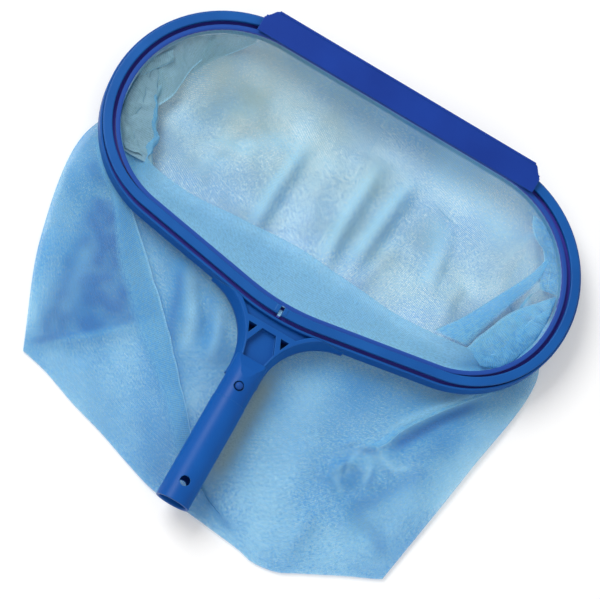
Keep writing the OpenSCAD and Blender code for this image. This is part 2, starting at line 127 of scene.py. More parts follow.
# The frame. One injection moulding in deep blue polypropylene: the oval hoop,
# the scoop lip on its far side, the forked yoke and the handle tube. The
# surface is satin with a fine grain, paler along its edges, partly worn and partly a painted highlight.
def moulded_blue(name, tint, wear_highlight_tint, grain, gloss, edge_mm=0.9):
    """Satin moulded plastic: drifting tone, fine grain, soft edges, paler along them from wear and a painted
    highlight.
    """
    mat = bpy.data.materials.new(name)
    mat.use_nodes = True
    tree = mat.node_tree
    skin = tree.nodes["Principled BSDF"]
    skin.inputs["Specular IOR Level"].default_value = 0.17
    skin.inputs["IOR"].default_value = 1.49
    place = tree.nodes.new("ShaderNodeTexCoord")

    drift = tree.nodes.new("ShaderNodeTexNoise")
    drift.inputs["Scale"].default_value = 21.0
    drift.inputs["Detail"].default_value = 3.0
    tree.links.new(place.outputs["Object"], drift.inputs["Vector"])
    tone = tree.nodes.new("ShaderNodeValToRGB")
    tone.color_ramp.elements[0].position = 0.28
    tone.color_ramp.elements[0].color = (tint[0] * 0.86, tint[1] * 0.86, tint[2] * 0.90, 1)
    tone.color_ramp.elements[1].position = 0.72
    tone.color_ramp.elements[1].color = (tint[0] * 1.12, tint[1] * 1.12, tint[2] * 1.08, 1)
    tree.links.new(drift.outputs["Fac"], tone.inputs["Fac"])

    soft = tree.nodes.new("ShaderNodeBevel")
    soft.samples = 6
    soft.inputs["Radius"].default_value = edge_mm * 0.001
    true = tree.nodes.new("ShaderNodeNewGeometry")
    # Painted highlight and wear: where the rounded edge normal leaves the true normal, the colour turns to a
    # paler tint
    corner = tree.nodes.new("ShaderNodeVectorMath")
    corner.operation = "DOT_PRODUCT"
    tree.links.new(soft.outputs["Normal"], corner.inputs[0])
    tree.links.new(true.outputs["Normal"], corner.inputs[1])
    wear_and_highlight = tree.nodes.new("ShaderNodeMapRange")
    wear_and_highlight.inputs["From Min"].default_value = 0.99
    wear_and_highlight.inputs["From Max"].default_value = 0.80
    wear_and_highlight.inputs["To Min"].default_value = 0.0
    wear_and_highlight.inputs["To Max"].default_value = 0.62
    tree.links.new(corner.outputs["Value"], wear_and_highlight.inputs["Value"])
    colour = tree.nodes.new("ShaderNodeMix")
    colour.data_type = "RGBA"
    colour.inputs["B"].default_value = (*wear_highlight_tint, 1)
    tree.links.new(wear_and_highlight.outputs["Result"], colour.inputs["Factor"])
    tree.links.new(tone.outputs["Color"], colour.inputs["A"])
    tree.links.new(colour.outputs["Result"], skin.inputs["Base Color"])

    fine = tree.nodes.new("ShaderNodeTexNoise")
    fine.inputs["Scale"].default_value = 1500.0
    fine.inputs["Detail"].default_value = 2.0
    tree.links.new(place.outputs["Object"], fine.inputs["Vector"])
    polish = tree.nodes.new("ShaderNodeMapRange")
    polish.inputs["From Min"].default_value = 0.3
    polish.inputs["From Max"].default_value = 0.7
    polish.inputs["To Min"].default_value = gloss - 0.05
    polish.inputs["To Max"].default_value = gloss + 0.07
    tree.links.new(drift.outputs["Fac"], polish.inputs["Value"])
    tree.links.new(polish.outputs["Result"], skin.inputs["Roughness"])
    pores = tree.nodes.new("ShaderNodeBump")
    pores.inputs["Strength"].default_value = grain
    pores.inputs["Distance"].default_value = 0.0002
    tree.links.new(fine.outputs["Fac"], pores.inputs["Height"])
    tree.links.new(soft.outputs["Normal"], pores.inputs["Normal"])
    tree.links.new(pores.outputs["Normal"], skin.inputs["Normal"])
    return mat


for node, tint, wear_highlight_tint, grain, gloss in (
        ("hoop", (0.003, 0.078, 0.330), (0.035, 0.190, 0.520), 0.14, 0.42),
        ("scoop_lip", (0.005, 0.040, 0.297), (0.030, 0.150, 0.500), 0.20, 0.52),
        ("yoke", (0.003, 0.083, 0.348), (0.035, 0.190, 0.520), 0.16, 0.44),
        ("handle_tube", (0.003, 0.085, 0.366), (0.030, 0.170, 0.480), 0.14, 0.40)):
    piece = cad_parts[node]
    piece.data.materials.clear()
    piece.data.materials.append(moulded_blue(node + "_blue", tint, wear_highlight_tint, grain, gloss))

# The retaining strip. A soft extruded strip in a slightly brighter blue,
# pressed into the hoop's channel over the net's hem. Its two ends meet near
# the yoke.
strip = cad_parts["retaining_strip"]
strip.data.materials.clear()
strip.data.materials.append(moulded_blue("strip_blue", (0.006, 0.090, 0.350), (0.040, 0.210, 0.560), 0.10,
                                         0.38))

# The clip inside the handle. One acetal moulding bent to a U, with a round
# button on each leg that springs out through the handle's holes.
for node in ("clip_bend", "clip_arm_top", "clip_arm_bottom", "button_top", "button_bottom"):
    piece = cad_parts[node]
    piece.data.materials.clear()
    piece.data.materials.append(moulded_blue(node + "_acetal", (0.012, 0.078, 0.330), (0.080, 0.220, 0.580),
                                             0.08, 0.46, 0.5))

# The net. One bag of fine nylon mesh, sewn along its sides and bottom and
# held by its hem in the hoop's channel. It lies slack on the table: the far
# cloth on the ground, the near cloth tucked in under the hoop and spread out
# behind it, with pleats and gathers where the cloth is in excess.
def hoop_line(a, d):
    """Plan point on the hoop's line, in mm, set outwards by d, at angle a.

    The angle is 0 at the far middle, 90 at the right and 180 at the near middle.
    """
    far_r, far_turn = 100.5, 104
    near_r, near_turn = 89.5, 66
    bow_r, bow_turn = 191.0, 10
    meet = 90 - far_turn
    far = np.array((109.0, 289.0))
    to_near = np.array((math.cos(math.radians(meet)), math.sin(math.radians(meet))))
    near = far + (far_r - near_r) * to_near
    lean_x, lean_y = math.cos(math.radians(bow_turn)), math.sin(math.radians(bow_turn))
    out = np.array((lean_y, -lean_x))
    start = near + (near_r + d) * out
    bow_y = (near @ out + near_r - bow_r) / out[1]

    # Lengths of the far flat, the two corner arcs, the sloping flat and the bow
    l1 = far[0]
    l2 = (far_r + d) * math.radians(far_turn)
    l3 = (near_r + d) * math.radians(near_turn)
    l4 = (start[0] - (bow_r + d) * lean_y) / lean_x
    l5 = (bow_r + d) * math.radians(bow_turn)
    s = np.where(a > 180, -1.0, 1.0)
    t = np.where(a > 180, 360 - a, a) / 180
    u = t * (l1 + l2 + l3 + l4 + l5)
    g2 = np.radians(90 - (u - l1) / l2 * far_turn)
    g3 = np.radians(meet - (u - l1 - l2) / l3 * near_turn)
    g5 = np.radians(meet - near_turn - bow_turn * (u - l1 - l2 - l3 - l4) / l5)
    run = u - l1 - l2 - l3
    part = [u < l1, u < l1 + l2, u < l1 + l2 + l3, run < l4]
    x = np.select(part, [u,
                         far[0] + (far_r + d) * np.cos(g2),
                         near[0] + (near_r + d) * np.cos(g3),
                         start[0] - run * lean_x],
                  (bow_r + d) * np.cos(g5))
    y = np.select(part, [0 * u + far[1] + far_r + d,
                         far[1] + (far_r + d) * np.sin(g2),
                         near[1] + (near_r + d) * np.sin(g3),
                         start[1] - run * lean_y],
                  bow_y + (bow_r + d) * np.sin(g5))
    return s * x, y


def flow(knots, values, at, ring=False):
    """Smooth curve through values at knots. A ring closes on itself after 360."""
    k, v = np.array(knots, float), np.array(values, float)
    if ring:
        k = np.concatenate([k[-3:] - 360, k, k[:3] + 360])
        v = np.concatenate([v[-3:], v, v[:3]])
    step = np.diff(k)[:, None]
    slope = np.diff(v, axis=0) / step
    m = np.concatenate([slope[:1], (slope[:-1] * step[1:] + slope[1:] * step[:-1]) / (step[1:] + step[:-1]),
                        slope[-1:]])
    i = np.clip(np.searchsorted(k, at, side="right") - 1, 0, len(k) - 2)
    w = step[i, 0]
    f = ((at - k[i]) / w)[:, None]
    w = w[:, None]
    return ((2 * f**3 - 3 * f**2 + 1) * v[i] + (f**3 - 2 * f**2 + f) * w * m[i]
            + (3 * f**2 - 2 * f**3) * v[i + 1] + (f**3 - f**2) * w * m[i + 1])


count, rows = 480, 172
ang = np.arange(count) * 360.0 / count

# Rings down the bag, each as (angle, x, y, z) in mm: where the cloth first
# turns (the far side meets the ground, the near side folds under), just past
# that turn, under the hoop, across the middle, and the bottom seam.
turn = [
    (0, 0, 353, -26.3), (30, 85, 347, -26), (48, 136, 333, -24), (64, 158, 342, -17),
    (78, 172, 322, -13), (92, 178, 300, -11), (108, 187, 274, -8), (122, 181, 246, -8),
    (133, 150, 238, -10.5), (150, 88, 232, -12), (165, 35, 236, -13), (180, -10, 239, -13),
    (197, -62, 236, -13), (215, -116, 232, -12.5), (229, -152, 236, -10.5), (245, -158, 250, -11.5),
    (262, -167, 274, -11), (276, -182, 302, -10), (288, -186, 319, -9.5), (302, -160, 340, -16),
    (316, -128, 347, -22), (334, -85, 354, -26.2)]
past = [
    (0, 0, 346, -26.5), (30, 84, 338, -26.4), (50, 134, 318, -26.2), (66, 157, 322, -23),
    (80, 170, 306, -17.5), (92, 178, 290, -14.5), (108, 187, 268, -13), (122, 180, 245, -13),
    (133, 150, 237, -14.5), (150, 88, 231, -15.5), (165, 35, 235, -16), (180, -10, 238, -16),
    (197, -62, 235, -16), (215, -116, 231, -16), (229, -151, 235, -15), (245, -157, 248, -16),
    (262, -166, 270, -16), (276, -180, 296, -16.5), (288, -176, 308, -19), (302, -150, 318, -24),
    (316, -122, 330, -26.2), (334, -84, 344, -26.5)]
under = [
    (0, 0, 235, -26.6), (40, 90, 240, -26.6), (62, 160, 252, -26.4), (78, 205, 260, -24.5),
    (90, 217, 249, -21.5), (102, 207, 226, -18.5), (116, 180, 208, -17.8), (133, 138, 190, -17.6),
    (150, 84, 172, -17.4), (180, -4, 158, -17.2), (210, -90, 172, -17.4), (228, -142, 190, -17.6),
    (246, -180, 208, -18), (258, -206, 218, -19.5), (270, -213, 234, -22), (282, -200, 252, -24.5),
    (298, -160, 252, -26.4), (320, -90, 240, -26.6)]
cross = [
    (0, 0, 122, -26.8), (45, 105, 128, -26.7), (70, 168, 136, -26.5), (84, 195, 142, -25),
    (90, 201, 144, -23), (97, 193, 140, -21), (115, 160, 122, -19.6), (140, 90, 100, -18.4),
    (180, 0, 84, -17.6), (220, -90, 98, -18.4), (245, -152, 118, -19.6), (263, -190, 134, -21),
    (270, -198.5, 137, -23), (276, -192, 138, -25), (290, -160, 136, -26.5),
    (315, -100, 128, -26.7)]
seam = [
    (0, 12, 4), (14, 42, 1), (26, 67, -2), (34, 82, -5), (41, 100, -2.5), (50, 118, 6),
    (66, 150, 22), (84, 174, 33), (90, 180, 36), (96, 174, 33), (114, 150, 22), (130, 118, 6),
    (139, 100, -2.5), (146, 82, -5), (154, 67, -2), (166, 42, 1), (180, 12, 4), (193, -15, 5),
    (209, -46, 14), (226, -78, 25), (240, -106, 33), (256, -140, 45), (270, -163, 50),
    (284, -140, 45), (300, -106, 33), (314, -78, 25), (331, -46, 14), (347, -15, 5)]
# The two top rings lie on the hoop's inner wall: (set in from its line, height)
levels = []
for inset, height in ((8.7, 5.4), (10.2, -6.0)):
    hx, hy = hoop_line(ang, -inset)
    levels.append(np.stack([hx, hy, 0 * ang + height], 1))
for ring in (turn, past, under, cross):
    r = np.array(ring, float)
    levels.append(flow(r[:, 0], r[:, 1:], ang, True))
r = np.array(seam, float)
bottom = flow(r[:, 0], r[:, 1:], ang, True)
top_half = (ang > 90) & (ang < 270)
seam_top, seam_low = -24.6, -26.6
levels.append(np.column_stack([bottom, np.where(top_half, seam_top, seam_low)]))
depth = np.array((0.0, 0.022, 0.145, 0.185, 0.46, 0.74, 1.0))
# Closer rows over the wall and the first folds: 51 of them in a fifth of the depth
wall_rows, wall_share = 51, 0.2
t = np.concatenate([np.linspace(0, wall_share, wall_rows + 1)[:-1],
                    np.linspace(wall_share, 1.0, rows - wall_rows)])
stack = np.array(levels)
cloth = flow(depth, stack.reshape(7, -1), t).reshape(rows, count, 3)


def along(px, py, line):
    """Distance to a line of points, left of its run positive, then the share along it and its normal."""
    line = np.array(line, float)
    seg = np.diff(line, axis=0)
    size = np.hypot(seg[:, 0], seg[:, 1])
    start = np.concatenate([[0], np.cumsum(size)])
    best = np.full(px.shape, 1e9)
    dist, share, nx, ny = (np.zeros(px.shape) for _ in range(4))
    for k in range(len(seg)):
        ux, uy = seg[k] / size[k]
        rx, ry = px - line[k, 0], py - line[k, 1]
        f = np.clip(rx * ux + ry * uy, 0, size[k])
        qx, qy = rx - f * ux, ry - f * uy
        far = np.hypot(qx, qy)
        near = far < best
        best = np.where(near, far, best)
        side = np.where(ux * ry - uy * rx >= 0, 1.0, -1.0)
        dist = np.where(near, far * side, dist)
        share = np.where(near, (start[k] + f) / start[-1], share)
        nx, ny = np.where(near, -uy, nx), np.where(near, ux, ny)
    return dist, share, nx, ny


# Pleats: the cloth doubles back on itself along a line, three layers deep.
# (which half, line, reach of the tuck, its width, height, share where it fades)
row_t = np.repeat(t, count).reshape(rows, count)
upper = np.tile(top_half, (rows, 1))
x, y, z = cloth[..., 0].copy(), cloth[..., 1].copy(), cloth[..., 2].copy()
hold = np.clip((row_t - 0.03) / 0.08, 0, 1) * np.clip((1 - row_t) / 0.10, 0, 1)
edge = np.minimum(np.abs(np.tile(ang, (rows, 1)) - 90), np.abs(np.tile(ang, (rows, 1)) - 270))
hold = hold * np.clip(edge / 7, 0, 1)
for high, line, reach, wide, lift, fade in (
        (True, [(9, 34), (25, 21), (43, 13), (57, 7)], 9, 7, 0.6, 0.2),
        (False, [(60, 344), (80, 336), (108, 331)], 2.4, 3.5, 0.4, 0.35)):
    d, share, nx, ny = along(x, y, line)
    amount = np.clip(share / fade, 0, 1) * np.clip((1 - share) / fade, 0, 1)
    amount = amount * amount * (3 - 2 * amount) * hold * (upper == high)
    w = d / wide
    bell = np.exp(-0.5 * w * w)
    push = -reach * 1.65 * w * bell * amount
    x += push * nx
    y += push * ny
    z += lift * amount * (1 - np.tanh(1.6 * w)) * np.exp(-0.12 * w * w)

# Ridges and hollows: (which half, line, height, width)
for high, line, height, wide in (
        (False, [(-48, 334), (-52, 283), (-53, 232), (-58, 180)], 5.0, 5.0),
        (False, [(15, 351), (12, 292), (13, 236), (8, 190)], 5.5, 5.5),
        (False, [(46, 352), (41, 310), (35, 250), (30, 200)], 6.2, 5.5),
        (False, [(96, 326), (97, 298), (103, 262)], 4.0, 5.0),
        (False, [(-91, 350), (-110, 300), (-118, 250)], 3.6, 7.0),
        (False, [(60, 300), (52, 262), (40, 225)], 3.4, 4.5),
        (False, [(-20, 330), (-22, 290), (-12, 250)], 3.0, 7.0),
        (False, [(-150, 300), (-110, 318), (-70, 310), (-30, 290)], 2.8, 6.0),
        (False, [(130, 300), (120, 270), (124, 240)], 3.2, 5.0),
        (False, [(-140, 262), (-120, 285), (-90, 290), (-70, 275)], 3.0, 5.0),
        (True, [(-94, 183), (-62, 150), (-49, 130)], 4.6, 6.0),
        (True, [(-77, 179), (-48, 148), (-38, 130)], -3.6, 5.0),
        (True, [(-52, 170), (-36, 140), (-30, 112)], 3.4, 5.0),
        (True, [(50, 160), (70, 120), (78, 70), (70, 30)], 3.2, 9.0),
        (True, [(190, 222), (178, 208), (152, 178), (134, 152), (124, 131)], 6.0, 5.0),
        (True, [(182, 204), (160, 172), (142, 145), (130, 124)], -4.0, 6.0),
        (True, [(109, 116), (118, 124), (130, 127)], 3.6, 2.4),
        (True, [(101, 88), (107, 101), (118, 108)], 4.0, 2.6),
        (True, [(116, 106), (133, 104), (146, 98)], 3.4, 2.8),
        (True, [(96, 100), (112, 92), (128, 92)], 3.0, 2.4),
        (True, [(98, 112), (104, 120), (114, 126)], 2.6, 1.8),
        (True, [(104, 96), (110, 104), (121, 101)], 2.4, 1.6),
        (True, [(118, 116), (124, 110), (136, 110)], 2.6, 1.8),
        (True, [(92, 92), (96, 84), (106, 82)], 2.4, 1.9),
        (True, [(112, 100), (125, 82), (148, 66), (166, 56)], -4.4, 9.0),
        (True, [(97, 60), (103, 41), (102, 8)], 3.2, 5.0),
        (True, [(150, 150), (170, 110), (176, 70)], 3.6, 8.0),
        (True, [(-190, 150), (-178, 112), (-166, 70)], 3.0, 8.0),
        (True, [(-150, 66), (-122, 85), (-97, 108)], 2.6, 3.5),
        (True, [(-120, 74), (-100, 44), (-80, 22)], 2.6, 8.0)):
    d, share = along(x, y, line)[:2]
    amount = np.clip(share / 0.25, 0, 1) * np.clip((1 - share) / 0.25, 0, 1) * hold * (upper == high)
    z += height * amount * np.exp(-0.5 * (d / wide) ** 2)

# Small crumples from the cloth's own springiness, and gathers at both ends
# of the hoop, where the hem takes up more cloth than lies below it
lumps = np.array([noise.noise(Vector((a * 0.024, b * 0.024, 3.0 + 5.0 * c)))
                  + 0.5 * noise.noise(Vector((a * 0.06, b * 0.06, 9.0 + 5.0 * c)))
                  for a, b, c in zip(x.ravel(), y.ravel(), upper.ravel())]).reshape(rows, count)
drift = np.array([noise.noise(Vector((a * 0.09, b * 0.09, 21.0 + 5.0 * c)))
                  for a, b, c in zip(x.ravel(), y.ravel(), upper.ravel())]).reshape(rows, count)
z += np.where(upper, 1.5, 1.0) * lumps * hold + 0.5 * drift * hold
ang_t = np.tile(ang, (rows, 1))
from_far = np.tile(np.where(ang > 180, 360 - ang, ang), (rows, 1))
at_ends = np.exp(-0.5 * ((np.abs(from_far) - 88) / 22) ** 2)
ruffle = np.sin(np.radians(ang_t * 14 + 40 * lumps)) + 0.6 * np.sin(np.radians(ang_t * 31 + 90 * drift))
early = np.clip((row_t - 0.004) / 0.05, 0, 1) * np.clip((0.30 - row_t) / 0.12, 0, 1)
out_x, out_y = x - np.roll(x, 3, 1), y - np.roll(y, 3, 1)
size = np.hypot(out_x, out_y) + 1e-6
x += -out_y / size * ruffle * at_ends * early * 3.2
y += out_x / size * ruffle * at_ends * early * 3.2
z += 1.2 * ruffle * at_ends * early
# The ground, and the underside of handle and yoke, which press the cloth down
ground = -26.9
z = np.maximum(z, ground)
roof = np.interp(np.abs(x), [20, 44], [-16.6, -10.5])
roof = np.where(y > 110, np.minimum(-11.5, np.interp(y, [110, 130], [-16.6, -12.5])), roof)
z = np.where(upper & (y < 176) & (row_t > 0.2), np.minimum(z, roof), z)

bm = bmesh.new()
uv = bm.loops.layers.uv.new("cloth")
deep = bm.verts.layers.float.new("deep")
drab_and_shadow = bm.verts.layers.float.new("drab_and_shadow")
faded_and_lit = bm.verts.layers.float.new("faded_and_lit")
thin = bm.verts.layers.float.new("thin")
points = [bm.verts.new((px * 0.001, py * 0.001, pz * 0.001))
          for px, py, pz in zip(x.ravel(), y.ravel(), z.ravel())]
# The far cloth is greyer, most of all near the far wall and at the left. Where
# the cloth bunches, and along creases, folds and cast shadows, painted shade deepens
# its colour; painted light makes taut cloth and the lit sides of creases paler: (which half, line, amount,
# width).
drab_and_shadowed = np.clip((300 - np.abs(y - 345) * 2.6) / 300, 0, 1) * 0.24 + 0.20 + 0.30 * lumps
drab_and_shadowed = drab_and_shadowed + 0.30 * np.exp(-((x + 128) / 80) ** 2 - ((y - 330) / 52) ** 2) * (1 + 0.2 * drift)
drab_and_shadowed = drab_and_shadowed * (1 - 0.8 * np.exp(-((x - 95) / 70) ** 2 - ((y - 350) / 34) ** 2))
drab_and_shadowed = np.clip(drab_and_shadowed * np.clip((y - 120) / 90, 0, 1), 0, 1) * ~upper
bunched_and_shaded = np.zeros(x.shape)
# Painted light: the near band by the hoop, where the cloth is taut, is painted paler, as are the lines with
# negative amounts below
stretched_and_lit = 0.75 * upper * np.clip((0.17 - row_t) / 0.03, 0, 1) * np.clip((172 - np.abs(x)) / 30, 0.2, 1)
# Positive amounts: painted shade in creases, cast shadows and where the cloth bunches; negative amounts:
# painted light
for high, line, amount, wide in (
        (True, [(188, 212), (162, 176), (144, 147), (132, 122)], 1.0, 5),
        (True, [(129, 124), (118, 120), (109, 113)], 0.7, 3),
        (True, [(99, 92), (107, 100), (104, 108)], 0.55, 3.5),
        (True, [(118, 108), (121, 98), (112, 91)], 0.5, 2.6),
        (True, [(134, 105), (128, 94)], 0.45, 3),
        (True, [(174, 140), (159, 112), (145, 89), (120, 66)], 0.55, 6),
        (True, [(127, 84), (141, 69), (160, 64), (174, 48)], 0.6, 6),
        (True, [(115, 122), (110, 106), (113, 92)], -0.45, 1.8),
        (True, [(120, 119), (127, 110), (130, 92)], -0.6, 1.6),
        (True, [(126, 126), (136, 119), (147, 119), (159, 128)], -0.6, 2.0),
        (True, [(103, 100), (108, 86), (120, 77)], -0.5, 2.0),
        (True, [(112, 118), (107, 106), (110, 90)], 0.6, 2.0),
        (True, [(124, 116), (131, 106), (134, 92)], 0.6, 2.4),
        (True, [(117, 104), (122, 98), (123, 88)], 0.45, 2.6),
        (True, [(130, 121), (140, 113), (152, 114)], 0.5, 2.6),
        (True, [(176, 180), (162, 150), (152, 120)], 0.3, 12),
        (True, [(23, 150), (24, 93), (22, 48)], 0.5, 7),
        (True, [(-184, 221), (-137, 182), (-107, 156), (-80, 131), (-47, 96), (-14, 60)], 0.55, 3),
        (True, [(-162, 47), (-149, 60), (-139, 69), (-122, 85), (-97, 110)], 0.35, 3),
        (True, [(-176, 149), (-166, 125), (-158, 96), (-153, 66)], 0.75, 5),
        (True, [(-147, 158), (-147, 127), (-141, 100), (-135, 74)], 0.75, 4),
        (True, [(-126, 140), (-124, 120), (-118, 96)], 0.8, 5),
        (True, [(-164, 160), (-156, 125), (-150, 84)], -0.2, 6),
        (False, [(40, 372), (100, 366), (150, 338)], -0.45, 11),
        (True, [(-200, 214), (-186, 206), (-170, 208)], 0.6, 6),
        (True, [(150, 186), (116, 170), (82, 150)], 0.3, 9),
        (True, [(104, 128), (100, 108), (108, 92), (126, 88)], 0.3, 6),
        (True, [(178, 206), (166, 176), (168, 140)], 0.4, 10),
        (True, [(-92, 182), (-80, 156), (-72, 130), (-58, 104)], 0.75, 4),
        (True, [(-62, 178), (-50, 160), (-38, 140), (-34, 116)], 0.5, 4),
        (True, [(-64, 124), (-54, 104), (-40, 90)], 0.45, 4),
        (True, [(13, 30), (25, 21), (43, 13), (57, 7)], 0.5, 2.5),
        (True, [(99, 60), (106, 41), (105, 10)], 0.35, 5),
        (True, [(64, 160), (110, 168), (150, 188)], 0.4, 9),
        (True, [(-205, 215), (-196, 190), (-188, 150), (-172, 110)], 0.25, 14),
        (True, [(188, 222), (156, 184), (135, 156), (122, 134)], -0.7, 3),
        (True, [(48, 162), (58, 120), (62, 80), (48, 36)], -0.4, 15),
        (True, [(206, 200), (196, 150), (186, 100)], -0.5, 9),
        (True, [(128, 36), (158, 84), (176, 124)], -0.35, 9),
        (True, [(-84, 184), (-70, 162), (-57, 136), (-50, 108)], -0.8, 4),
        (True, [(-46, 166), (-34, 140), (-28, 112)], -0.55, 3.5),
        (True, [(-140, 60), (-100, 40), (-56, 18)], -0.35, 14),
        (True, [(84, 56), (91, 30), (94, 8)], -0.35, 5),
        (False, [(-45, 334), (-49, 283), (-50, 236)], 0.42, 4),
        (False, [(19, 350), (16, 292), (17, 238)], 0.42, 4),
        (False, [(50, 350), (45, 310), (39, 252)], 0.40, 4),
        (False, [(-51, 330), (-56, 283), (-57, 236)], -0.5, 3.5),
        (False, [(12, 348), (8, 292), (9, 238)], -0.5, 3.5),
        (False, [(42, 348), (36, 310), (30, 252)], -0.55, 3.5),
        (False, [(-128, 356), (-60, 372), (20, 374), (110, 366)], 0.15, 9),
        (False, [(-150, 262), (-138, 300), (-117, 331), (-92, 353)], 0.25, 8),
        (False, [(-120, 250), (-104, 290), (-70, 318), (-30, 322)], -0.35, 6),
        (False, [(78, 340), (92, 300), (98, 262)], -0.35, 7)):
    d, share = along(x, y, line)[:2]
    fade = np.clip(share / 0.2, 0, 1) * np.clip((1 - share) / 0.2, 0, 1)
    fade = fade * (upper == high) * np.exp(-0.5 * (d / wide) ** 2)
    if amount > 0:
        bunched_and_shaded = np.maximum(bunched_and_shaded, amount * fade)
    else:
        stretched_and_lit = np.maximum(stretched_and_lit, -amount * fade)
# Painted shadow: the handle's shadow on the cloth just right of it, in the greyer tint
handle_shadow = 0.9 * upper * np.exp(-0.5 * ((x - 19) / 7) ** 2)
handle_shadow = handle_shadow * np.clip((150 - y) / 30, 0, 1) * np.clip((y - 20) / 30, 0, 1)
drab_and_shadowed = np.maximum(drab_and_shadowed, handle_shadow)
# Left of the handle the cloth bunches between four lines, and painted shade
# fills that area: (line, which side of it, how softly it ends)
inside = upper * 1.0
for line, sign, soft in (
        ([(-230, -10), (-175, 40), (-149, 60), (-122, 85), (-60, 146), (0, 200)], 1, 7),
        ([(-260, 160), (-196, 184), (-180, 194), (-165, 198), (-100, 215)], -1, 7),
        ([(-200, 240), (-194, 190), (-180, 130), (-164, 20)], 1, 16),
        ([(-260, 300), (-205, 240), (-167, 211), (-139, 187), (-110, 160), (-83, 135), (-50, 100),
          (20, 30)], -1, 5)):
    d = along(x, y, line)[0]
    inside = inside * np.clip(sign * d / soft, 0, 1)
mottled = np.clip(0.90 + 0.35 * drift + 0.25 * lumps, 0, 1.2)
bunched_and_shaded = np.maximum(bunched_and_shaded, inside * mottled * (1 - 0.7 * stretched_and_lit))
for point, *amounts in zip(points, drab_and_shadowed.ravel(), bunched_and_shaded.ravel(), stretched_and_lit.ravel()):
    point[drab_and_shadow], point[deep], point[faded_and_lit] = amounts
bm.verts.index_update()
cloth_round, cloth_deep = 0.95, 0.42
for k in range(rows - 1):
    for i in range(count):
        j = (i + 1) % count
        face = bm.faces.new((points[k * count + i], points[(k + 1) * count + i],
                             points[(k + 1) * count + j], points[k * count + j]))
        face.smooth = True
        for loop, (u, v) in zip(face.loops, ((i, k), (i, k + 1), (i + 1, k + 1), (i + 1, k))):
            loop[uv].uv = (u / count * cloth_round, t[v] * cloth_deep)


def fold_over(tucked, folded, puff, seed, single, dark, gathers):
    """Slack cloth lying doubled between the line where it is tucked in and its fold.

    A taut panel, with no gathers, thins out to nothing at its tucked side and its start.
    """
    run, across = 72, 14
    u = np.linspace(0, 1, run)
    share = np.linspace(0, 1, across)
    lines = []
    for line in (tucked, folded):
        line = np.array(line, float)
        far = np.concatenate([[0], np.cumsum(np.linalg.norm(np.diff(line[:, :2], axis=0), axis=1))])
        lines.append(flow(far / far[-1], line, u))
    ends = np.clip(np.minimum(u, 1 - u) / 0.08, 0.05, 1) ** 0.5
    way = share if single else np.concatenate([share, share[-2:0:-1]])
    side = np.ones(across) if single else np.concatenate([np.ones(across), -np.ones(across - 2)])
    sheet = lines[0][:, None] * (1 - way[None, :, None]) + lines[1][:, None] * way[None, :, None]
    body = (1 - way) * np.sin(np.pi * way) ** 0.5 + way * np.sqrt(np.clip(1 - way ** 4, 0, 1)) * 0.9
    shade = np.zeros((run, len(way)))
    for i in range(run):
        for k in range(len(way)):
            p = sheet[i, k]
            wave = noise.noise(Vector((p[0] * 0.05, p[1] * 0.05, seed)))
            wave += 0.5 * noise.noise(Vector((p[0] * 0.13, p[1] * 0.13, seed + 7)))
            crease = math.sin(6.283 * gathers * (u[i] + 0.05 * wave))
            crease += 0.6 * math.sin(6.283 * gathers * 2.3 * u[i] + 9 * wave + seed)
            rise = 0.5 * puff * side[k] * body[k] * ends[i] + puff * 0.45 * wave * (0.4 + 0.6 * (side[k] > 0))
            swell = math.sin(math.pi * min(1, way[k] * 1.1))
            p[2] += rise + 0.30 * puff * crease * swell * ends[i] * (gathers > 0)
            p[:2] += (1.6 if gathers else 0.5) * wave * (way[k] > 0.6)
            # Painted shade: the panel's given amount, deeper in the troughs of its gathers
            shade[i, k] = dark + 0.24 * (gathers > 0) * max(0.0, -crease) * swell
    rows_of = [[bm.verts.new((p[0] * 0.001, p[1] * 0.001, p[2] * 0.001)) for p in line] for line in sheet]
    for i, line in enumerate(rows_of):
        for k, point in enumerate(line):
            point[deep] = min(1.0, shade[i, k])
            # Painted light along the rounded fold, and the whole panel a little paler
            point[faded_and_lit] = 0.85 * (way[k] > 0.95) + 0.16
            point[drab_and_shadow] = 0.7 * (sheet[i, k][0] < -100 and sheet[i, k][1] > 230)
            point[thin] = (gathers == 0) * max(0.0, 1 - way[k] / 0.45, 1 - u[i] / 0.05)
    # In the UV map a unit is this many mm along the fold and across it
    map_along, map_across = 1368, 786
    length = np.linalg.norm(lines[1][-1] - lines[1][0])
    span = np.linalg.norm(lines[1][run // 2] - lines[0][run // 2])
    for i in range(run - 1):
        for k in range(len(way) - (1 if single else 0)):
            j = (k + 1) % len(way)
            face = bm.faces.new((rows_of[i][k], rows_of[i + 1][k], rows_of[i + 1][j], rows_of[i][j]))
            face.smooth = True
            across_k, across_j = k / across * span, (k + 1) / across * span
            for loop, (a, b) in zip(face.loops,
                                    ((i, across_k), (i + 1, across_k), (i + 1, across_j), (i, across_j))):
                loop[uv].uv = (a / run * length / map_along + 0.1 * seed, 0.06 + b / map_across)
